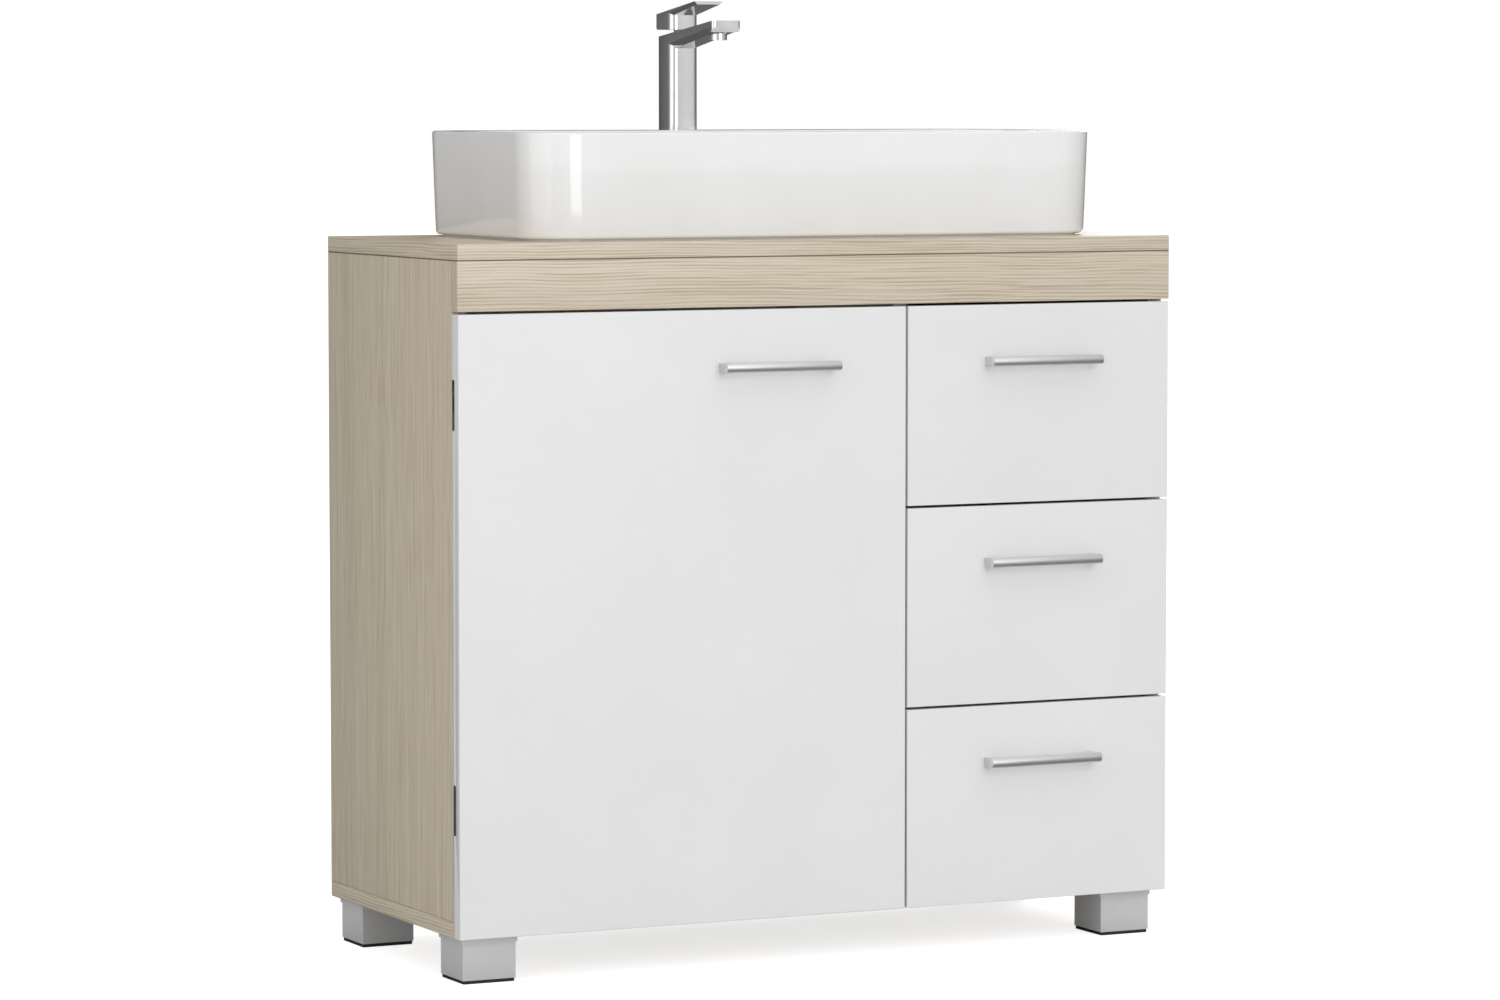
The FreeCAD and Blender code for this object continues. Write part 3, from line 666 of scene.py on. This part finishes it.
def choose(piece, kind, test):
    # Selects the vertices, edges or faces whose corners pass the test, and stays in edit mode.
    # Of the edges, only those where two faces fold.
    openUp(piece, {"verts": "VERT", "edges": "EDGE", "faces": "FACE"}[kind])
    shape = bmesh.from_edit_mesh(piece.data)
    shape.normal_update()
    for item in getattr(shape, kind):
        corners = [item.co] if kind == "verts" else [corner.co for corner in item.verts]
        sharp = kind != "edges" or item.calc_face_angle(0) > sharpFold
        item.select_set(sharp and test(corners))
    shape.select_flush_mode()
    bmesh.update_edit_mesh(piece.data)


def level(axis, place):
    # A test: every corner lies at that place along the axis.
    return lambda corners: all(abs(corner[axis] - place) < 2 * tiny for corner in corners)


def upright(corners):
    return len(corners) == 2 and (corners[0] - corners[1]).xy.length < tiny


def both(first, second):
    return lambda corners: first(corners) and second(corners)


def either(first, second):
    return lambda corners: first(corners) or second(corners)


def outline(low, high):
    # A test: an edge on the outside of the box, where two of its sides meet.
    def test(corners):
        sides = [k for k in range(3) for end in (low, high) if level(k, end[k])(corners)]
        return len(sides) >= 2
    return test


def ease(piece, width, segments, test):
    # Rounds the chosen edges, or with one segment cuts them to a chamfer.
    choose(piece, "edges", test)
    bpy.ops.mesh.bevel(offset=width, segments=segments, affect="EDGES", clamp_overlap=True)
    putDown()


def pullOut(way):
    # Draws the chosen faces out, or in, by the given way.
    bpy.ops.mesh.extrude_region_move(TRANSFORM_OT_translate={"value": way})


def keepWithin(piece, low, high):
    # Draws back any corner that easing has pushed past the part's own box.
    for spot in piece.data.vertices:
        spot.co = [min(max(spot.co[k], low[k]), high[k]) for k in range(3)]


def combine(piece, tool, how):
    pickUp(piece)
    step = piece.modifiers.new("step", "BOOLEAN")
    step.operation = how
    step.solver = "EXACT"
    step.object = tool
    bpy.ops.object.modifier_apply(modifier="step")
    bpy.data.objects.remove(tool)


def cutAway(piece, tool):
    combine(piece, tool, "DIFFERENCE")


def weldOn(piece, other):
    combine(piece, other, "UNION")


def middleOf(nodeName):
    low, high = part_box(nodeName)
    return (low + high) / 2


def handOver(piece, body, finishName, node, crisp, ends=None):
    # Smooths and dresses a finished piece, hangs it on the body it moves with, and lets it stand
    # for its machined part.
    # ends = (finish, axis) gives the faces that look along that axis a finish of their own.
    pickUp(piece)
    bpy.ops.object.shade_smooth_by_angle(angle=math.radians(crisp))
    piece.data.materials.clear()
    piece.data.materials.append(finishes[finishName])
    if ends:
        piece.data.materials.append(finishes[ends[0]])
        for face in piece.data.polygons:
            face.material_index = int(abs(face.normal[ends[1]]) > squarely)
    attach(piece, body)
    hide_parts(node)
    putDown()


# Boards and fronts: machined parts with their outer edges eased

boardSetup = {
    # part: (eased by, body, finish, slot, finish of the ends and the way they look)
    "countertop": (0.0007, "cabinet", "ashAlongX", "ash_laminate", ("ashAlongY", 0)),
    "apron_board": (0.0007, "cabinet", "ashAlongX", "ash_laminate", ("ashUpright", 0)),
    "bottom_board": (0.0006, "cabinet", "ashAlongX", "ash_laminate", ("ashAlongY", 0)),
    "side_panel_left": (0.0006, "cabinet", "ashUpright", "ash_laminate", None),
    "side_panel_right": (0.0006, "cabinet", "ashUpright", "ash_laminate", None),
    "door_panel": (0.0012, "door", "whiteFoil", "white_front", None),
    "drawer_1_front": (0.0012, "drawer_1", "whiteFoil", "white_front", None),
    "drawer_2_front": (0.0012, "drawer_2", "whiteFoil", "white_front", None),
    "drawer_3_front": (0.0012, "drawer_3", "whiteFoil", "white_front", None),
    "partition_panel": (0.0005, "cabinet", "innerMelamine", "inner_board", None),
    "shelf": (0.0005, "cabinet", "innerMelamine", "inner_board", None),
}


boardEdges = {"steps": 3, "crisp": 30}


def makeBoards():
    for name, (width, body, finishName, slot, ends) in boardSetup.items():
        low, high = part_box(name)
        piece = copyOf(name, name + "_eased")
        ease(piece, width, boardEdges["steps"], outline(low, high))
        keepWithin(piece, low, high)
        handOver(piece, body, finishName, name, boardEdges["crisp"], ends)


makeBoards()
print("boards and fronts made")


# Basin

basinShape = {
    "corner": 0.051,
    "cornerSteps": 22,
    "flare": 0.003,          # each side leans out by this at the rim
    "wall": 0.008,
    "ledge": 0.062,          # tap ledge behind the bowl
    "floor": 0.020,
    "lean": 0.014,           # the bowl narrows by this on its way down
    "sweep": 0.026,          # round between the bowl's walls and its floor
    "sweepSteps": 12,
    "rimRound": 0.0028,
    "baseRound": 0.004,
    "edgeSteps": 5,          # for the rim, the base and the hollow
    "footHeight": 0.002,
    "footInset": 0.003,
    "wasteHole": 0.023,      # radius
    "tapHole": 0.014,        # radius
    "pocketHalf": 0.045,     # hollow under the tap ledge, half its width
    "pocketFront": 0.048,    # from the basin's back
    "pocketBack": 0.012,
    "pocketRoof": 0.014,     # glaze and clay left above it
    "pocketRound": 0.008,
    "drillStart": 0.01,      # below the basin's foot
    "wasteReach": 0.06,
    "tapStart": 0.03,        # below the rim
    "tapReach": 0.05,
    "crisp": 40,
}


def makeBasin():
    shape = basinShape
    low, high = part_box("basin")
    centre = (low + high) / 2
    foot = low.z + shape["footHeight"]
    flare = shape["flare"]
    piece = startBox("basin_glazed", (low.x + flare, low.y + flare, foot),
                     (high.x - flare, high.y - flare, high.z))
    ease(piece, shape["corner"], shape["cornerSteps"], upright)
    choose(piece, "verts", level(2, high.z))
    wide, deep = high.x - low.x, high.y - low.y
    stretch = (wide / (wide - 2 * flare), deep / (deep - 2 * flare), 1)
    bpy.ops.transform.resize(value=stretch, center_override=centre)
    sinkBowl(piece, centre, low, high)
    ease(piece, shape["baseRound"], shape["edgeSteps"], level(2, foot))
    choose(piece, "faces", level(2, foot))
    bpy.ops.mesh.inset(thickness=shape["footInset"], depth=0)
    pullOut((0, 0, -shape["footHeight"]))
    putDown()
    drillBasin(piece, low, high)
    handOver(piece, "cabinet", "glazedWhite", "basin", shape["crisp"])


def sinkBowl(piece, centre, low, high):
    # The rim is inset, its rear moved forward for the tap ledge, and the middle pushed down
    # into a bowl.
    shape = basinShape
    choose(piece, "faces", level(2, high.z))
    bpy.ops.mesh.inset(thickness=shape["wall"], depth=0)
    mesh = bmesh.from_edit_mesh(piece.data)
    for spot in mesh.verts:
        if spot.select and spot.co.y > centre.y:
            spot.co.y -= shape["ledge"] - shape["wall"]
    bmesh.update_edit_mesh(piece.data)
    floor = low.z + shape["floor"]
    wide = high.x - low.x - 2 * shape["wall"]
    deep = high.y - low.y - shape["wall"] - shape["ledge"]
    middle = (centre.x, low.y + shape["wall"] + deep / 2, floor)
    lean = 2 * shape["lean"]
    pullOut((0, 0, floor - high.z))
    narrowing = ((wide - lean) / wide, (deep - lean) / deep, 1)
    bpy.ops.transform.resize(value=narrowing, center_override=middle)
    putDown()
    ease(piece, shape["sweep"], shape["sweepSteps"], level(2, floor))
    ease(piece, shape["rimRound"], shape["edgeSteps"], level(2, high.z))


def drillBasin(piece, low, high):
    # The waste hole, the hollow under the tap ledge, and the tap hole above it.
    shape = basinShape
    waste, tap = middleOf("drain_flange"), middleOf("faucet_cartridge")
    half = shape["pocketHalf"]
    below = low.z - shape["drillStart"]
    cutAway(piece, startRound("drill", (waste.x, waste.y, below), shape["wasteHole"],
                              shape["wasteReach"]))
    pocket = startBox("pocket", (tap.x - half, high.y - shape["pocketFront"], below),
                      (tap.x + half, high.y - shape["pocketBack"], high.z - shape["pocketRoof"]))
    ease(pocket, shape["pocketRound"], shape["edgeSteps"], upright)
    cutAway(piece, pocket)
    above = high.z - shape["tapStart"]
    cutAway(piece, startRound("drill", (tap.x, tap.y, above), shape["tapHole"],
                              shape["tapReach"]))


makeBasin()
print("basin made")


# Faucet

faucetShape = {
    "columnDeep": 0.036,
    "columnRound": 0.0075,
    "columnSteps": 8,
    "backTop": 0.935,            # heights above the floor
    "tipTop": 0.951,
    "tipLow": 0.944,
    "rootLow": 0.9232,           # underside of the spout where it meets the column
    "tipStep": (0.004, 0.005),   # the chamfer under the spout's tip, back and down
    "tipRound": 0.0035,
    "tipSteps": 6,
    "underTaper": 0.0055,        # long chamfers under the spout
    "weld": 0.012,               # how far the spout and the blade reach into their blocks
    "longEdge": 0.05,            # only the long edges of the spout and blade are longer
    "aeratorHole": 0.0092,       # radius
    "aeratorDeep": 0.018,
    "cartridgeHole": 0.0132,     # radius
    "cartridgeFloor": 0.904,
    "cartridgeReach": 0.06,
    "cartridgeSides": 48,
    "crisp": 28,
    "aeratorCrisp": 35,
}


def makeFaucet():
    shape = faucetShape
    low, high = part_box("faucet_body")
    front = high.y - shape["columnDeep"]
    column = startBox("faucet_chromed", low, (high.x, high.y, shape["backTop"]))
    choose(column, "verts", level(1, low.y))
    bpy.ops.transform.translate(value=(0, front - low.y, 0))
    # The column's top slopes up towards the spout.
    slope = (shape["tipTop"] - shape["backTop"]) / (high.y - low.y)
    choose(column, "verts", both(level(1, front), level(2, shape["backTop"])))
    bpy.ops.transform.translate(value=(0, 0, slope * shape["columnDeep"]))
    ease(column, shape["columnRound"], shape["columnSteps"], upright)
    weldOn(column, makeSpout(low, high, front))
    bore = middleOf("faucet_aerator")
    under = shape["tipLow"] - shape["aeratorDeep"]
    cutAway(column, startRound("drill", (bore.x, bore.y, under), shape["aeratorHole"],
                               shape["aeratorDeep"]))
    hollow = middleOf("faucet_cartridge")
    cutAway(column, startRound("drill", (hollow.x, hollow.y, shape["cartridgeFloor"]),
                               shape["cartridgeHole"], shape["cartridgeReach"],
                               shape["cartridgeSides"]))
    handOver(column, "cabinet", "polishedChrome", "faucet_body", shape["crisp"])


def makeSpout(low, high, front):
    shape = faucetShape
    back, down = shape["tipStep"]
    # The spout reaches into the middle of the column, where the two are welded.
    root = front + shape["weld"]
    spout = startBox("spout", (low.x, low.y, shape["tipLow"]), (high.x, root, shape["tipTop"]))
    slope = (shape["tipTop"] - shape["backTop"]) / (high.y - low.y)
    under = (shape["tipLow"] - down - shape["rootLow"]) / (front - low.y - back)
    choose(spout, "verts", both(level(1, root), level(2, shape["tipTop"])))
    bpy.ops.transform.translate(value=(0, 0, -slope * (root - low.y)))
    choose(spout, "verts", both(level(1, root), level(2, shape["tipLow"])))
    drop = shape["rootLow"] - under * shape["weld"] - shape["tipLow"]
    bpy.ops.transform.translate(value=(0, 0, drop))
    # The underside is split near the tip so that a chamfer can run up to the tip's face.
    openUp(spout, "FACE")
    bpy.ops.mesh.select_all(action="SELECT")
    bpy.ops.mesh.bisect(plane_co=(0, low.y + back, 0), plane_no=(0, 1, 0))
    putDown()
    split = [spot.co.z for spot in spout.data.vertices if abs(spot.co.y - low.y - back) < tiny]
    choose(spout, "verts", both(level(1, low.y + back), level(2, min(split))))
    bpy.ops.transform.translate(value=(0, 0, shape["tipLow"] - down - min(split)))
    putDown()
    ease(spout, shape["tipRound"], shape["tipSteps"], both(upright, level(1, low.y)))
    ease(spout, shape["underTaper"], 1, longUnder(low, high, shape["tipLow"]))
    return spout


def longUnder(low, high, ceiling):
    # A test: one of the two long lower edges of the spout or the lever's blade.
    onSide = either(level(0, low.x), level(0, high.x))

    def test(corners):
        span = abs(corners[0].y - corners[1].y)
        return (onSide(corners) and span > faucetShape["longEdge"]
                and max(corner.z for corner in corners) < ceiling)
    return test


makeFaucet()
handOver(copyOf("faucet_aerator", "aerator_ring"), "cabinet", "polishedChrome",
         "faucet_aerator", faucetShape["aeratorCrisp"])


leverShape = {
    "blockDeep": 0.036,
    "blockRound": 0.0075,
    "blockSteps": 8,
    "blockTop": 0.959,       # heights above the floor
    "bladeTop": 0.9713,
    "bladeLow": 0.968,
    "neckLow": 0.9577,       # the blade's underside where it leaves the block
    "underTaper": 0.0040,
    "heel": 0.002,
    "stemHole": 0.0041,      # radius
    "stemStart": 0.004,      # below the block
    "stemReach": 0.0101,
    "stemSides": 40,
    "crisp": 28,
}


def makeLever():
    # A block with the column's outline and a thin rising blade, welded together.
    shape = leverShape
    low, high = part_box("lever_handle")
    slope = (shape["bladeTop"] - shape["blockTop"]) / (high.y - low.y)
    front = high.y - shape["blockDeep"]
    piece = startBox("lever_chromed", (low.x, front, low.z), (high.x, high.y, shape["blockTop"]))
    setHeights(piece, front, low.z, shape["blockTop"] + slope * shape["blockDeep"])
    ease(piece, shape["blockRound"], shape["blockSteps"], both(upright, level(1, front)))
    ease(piece, shape["heel"], 1, both(level(1, high.y), level(2, low.z)))
    reach = front + faucetShape["weld"]
    blade = startBox("blade", (low.x, low.y, shape["bladeLow"]),
                     (high.x, reach, shape["bladeTop"]))
    under = (shape["bladeLow"] - shape["neckLow"]) / (front - low.y)
    setHeights(blade, reach, shape["neckLow"] - under * faucetShape["weld"],
               shape["bladeTop"] - slope * (reach - low.y))
    ease(blade, shape["underTaper"], 1, longUnder(low, high, shape["bladeLow"] + tiny))
    weldOn(piece, blade)
    stem = middleOf("lever_stem")
    below = low.z - shape["stemStart"]
    cutAway(piece, startRound("drill", (stem.x, stem.y, below), shape["stemHole"],
                              shape["stemReach"], shape["stemSides"]))
    handOver(piece, "lever", "polishedChrome", "lever_handle", shape["crisp"])


def setHeights(piece, place, lower, upper):
    # Moves the lower and the upper corners that stand at that depth to the given heights.
    choose(piece, "verts", level(1, place))
    mesh = bmesh.from_edit_mesh(piece.data)
    chosen = [spot for spot in mesh.verts if spot.select]
    half = sum(spot.co.z for spot in chosen) / len(chosen)
    for spot in chosen:
        spot.co.z = lower if spot.co.z < half else upper
    bmesh.update_edit_mesh(piece.data)
    putDown()


makeLever()
print("faucet and lever made")


# Handles

handleShape = {
    "barDeep": 0.008,
    "frontRound": 0.0046,
    "frontSteps": 8,
    "legWide": 0.006,
    "legStart": 0.006,       # the legs begin inside the bar
    "legInset": 0.0006,      # and are this much slimmer
    "edge": 0.0007,
    "edgeSteps": 3,
    "crisp": 30,
}


def makeHandle(node):
    # A bar with a rounded front on two legs.
    shape = handleShape
    low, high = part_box(node)
    back = low.y + shape["barDeep"]
    bar = startBox(node + "_bar", low, (high.x, back, high.z))
    aboveOrBelow = either(level(2, low.z), level(2, high.z))
    ease(bar, shape["frontRound"], shape["frontSteps"], both(level(1, low.y), aboveOrBelow))
    inset = shape["legInset"]
    start, stop = low.y + shape["legStart"], high.y
    for left, right in ((low.x + inset, low.x + shape["legWide"]),
                        (high.x - shape["legWide"], high.x - inset)):
        weldOn(bar, startBox("leg", (left, start, low.z + inset), (right, stop, high.z - inset)))
    atEnd = either(level(0, low.x), level(0, high.x))
    eased = either(atEnd, level(1, back))
    ease(bar, shape["edge"], shape["edgeSteps"],
         lambda corners: eased(corners) and not level(1, high.y)(corners))
    return bar


def hangHandles():
    # The door's handle is made, and the three drawers get its twins.
    places = {"door": "door_handle", "drawer_1": "drawer_1_handle", "drawer_2": "drawer_2_handle",
              "drawer_3": "drawer_3_handle"}
    first = makeHandle(places["door"])
    bars = {"door": first}
    for body in ("drawer_1", "drawer_2", "drawer_3"):
        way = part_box(places[body])[0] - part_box(places["door"])[0]
        bars[body] = twinOf(first, places[body] + "_bar", way)
    for body, bar in bars.items():
        handOver(bar, body, "satinAluminium", places[body],
                 handleShape["crisp"])


hangHandles()
print("handles made")


# Feet

footShape = {
    "leg": 0.056,
    "collar": 0.060,
    "collarHigh": 0.007,
    "corner": 0.0015,
    "cornerSteps": 4,
    "edge": 0.0004,
    "edgeSteps": 3,
    "crisp": 35,
    "padEdge": 0.0005,
    "padSteps": 2,
    "padCrisp": 30,
}


def makeFoot(low, high):
    # From the top down: collar, a shallow step, then the leg.
    shape = footShape
    under = high.z - shape["collarHigh"]
    foot = startBox("foot", (low.x, low.y, under),
                    (low.x + shape["collar"], low.y + shape["collar"], high.z))
    ease(foot, shape["corner"], shape["cornerSteps"], upright)
    choose(foot, "faces", level(2, under))
    bpy.ops.mesh.inset(thickness=(shape["collar"] - shape["leg"]) / 2, depth=0)
    pullOut((0, 0, low.z - under))
    putDown()
    ease(foot, shape["edge"], shape["edgeSteps"], either(level(2, under), level(2, low.z)))
    return foot


def makeFeet():
    low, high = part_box("feet")
    foot = makeFoot(low, high)
    across = high.x - low.x - footShape["collar"]
    backwards = high.y - low.y - footShape["collar"]
    feet = [foot] + [twinOf(foot, "foot", way)
                     for way in ((0, backwards, 0), (across, 0, 0), (across, backwards, 0))]
    handOver(joinUp(feet, "feet_moulded"), "cabinet", "footSilver", "feet",
             footShape["crisp"])


def joinUp(parts, name):
    pickUp(parts[0])
    for part in parts:
        part.select_set(True)
    bpy.ops.object.join()
    parts[0].name = name
    return parts[0]


makeFeet()


def makePads():
    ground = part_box("foot_pads")[0].z
    pads = copyOf("foot_pads", "pads_moulded")
    ease(pads, footShape["padEdge"], footShape["padSteps"], level(2, ground))
    handOver(pads, "cabinet", "blackRubber", "foot_pads", footShape["padCrisp"])


makePads()
print("feet made")


# Waste plug

plugShape = {
    "thick": 0.005,
    "crown": 0.0026,
    "crownSteps": 7,
    "grooveIn": 0.005,
    "grooveWide": 0.0012,
    "grooveDeep": 0.0006,
    "boss": 0.012,           # radius, as the stem's
    "bossHigh": 0.002,
    "stem": 0.003,
    "sides": 96,
    "crisp": 35,
}


def makePlug():
    # A cap with a turned groove; under it a boss for the seal and the long guide stem.
    shape = plugShape
    low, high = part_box("drain_plug")
    middle = (low + high) / 2
    radius = (high.x - low.x) / 2
    base = high.z - shape["thick"]
    plug = startRound("plug_turned", (middle.x, middle.y, base), radius, shape["thick"],
                      shape["sides"])
    ease(plug, shape["crown"], shape["crownSteps"], level(2, high.z))
    choose(plug, "faces", level(2, high.z))
    bpy.ops.mesh.inset(thickness=shape["grooveIn"], depth=0)
    bpy.ops.mesh.inset(thickness=shape["grooveWide"] / 2, depth=-shape["grooveDeep"])
    bpy.ops.mesh.inset(thickness=shape["grooveWide"] / 2, depth=shape["grooveDeep"])
    putDown()
    choose(plug, "faces", level(2, base))
    bpy.ops.mesh.inset(thickness=radius - shape["boss"], depth=0)
    pullOut((0, 0, -shape["bossHigh"]))
    bpy.ops.mesh.inset(thickness=shape["boss"] - shape["stem"], depth=0)
    pullOut((0, 0, low.z - base + shape["bossHigh"]))
    putDown()
    handOver(plug, "drain_plug", "polishedChrome", "drain_plug", shape["crisp"])


makePlug()


# Turned and folded hardware: machined parts with their faces smoothed

hardwareSetup = {
    # part: (body, finish, slot)
    "drain_flange": ("cabinet", "polishedChrome", "chrome"),
    "drain_body": ("cabinet", "machinedBrass", "brass"),
    "drain_nut": ("cabinet", "greyPlastic", "grey_plastic"),
    "drain_seals": ("cabinet", "blackRubber", "black_rubber"),
    "trap_inlet_pipe": ("cabinet", "trapWhite", "white_plastic"),
    "trap_body": ("cabinet", "trapWhite", "white_plastic"),
    "trap_cup": ("cabinet", "trapWhite", "white_plastic"),
    "trap_outlet_pipe": ("cabinet", "trapWhite", "white_plastic"),
    "trap_nuts": ("cabinet", "trapWhite", "white_plastic"),
    # The hinge parts take the dark-toned steel, painted shade for their slit.
    "hinge_frame_leaves": ("cabinet", "shadedHingeSteel", "zinc_steel"),
    "hinge_pins": ("cabinet", "shadedHingeSteel", "zinc_steel"),
    "door_hinge_leaves": ("door", "shadedHingeSteel", "zinc_steel"),
    "faucet_cartridge": ("cabinet", "greyPlastic", "grey_plastic"),
    "cartridge_collar": ("valve_collar", "zincSteel", "zinc_steel"),
    "lever_stem": ("lever", "zincSteel", "zinc_steel"),
}
hardwareCrisp = 32


def makeHardware():
    for name, (body, finishName, slot) in hardwareSetup.items():
        handOver(copyOf(name, name + "_smooth"), body, finishName, name, hardwareCrisp)


makeHardware()
print("hardware made")


print("script finished")
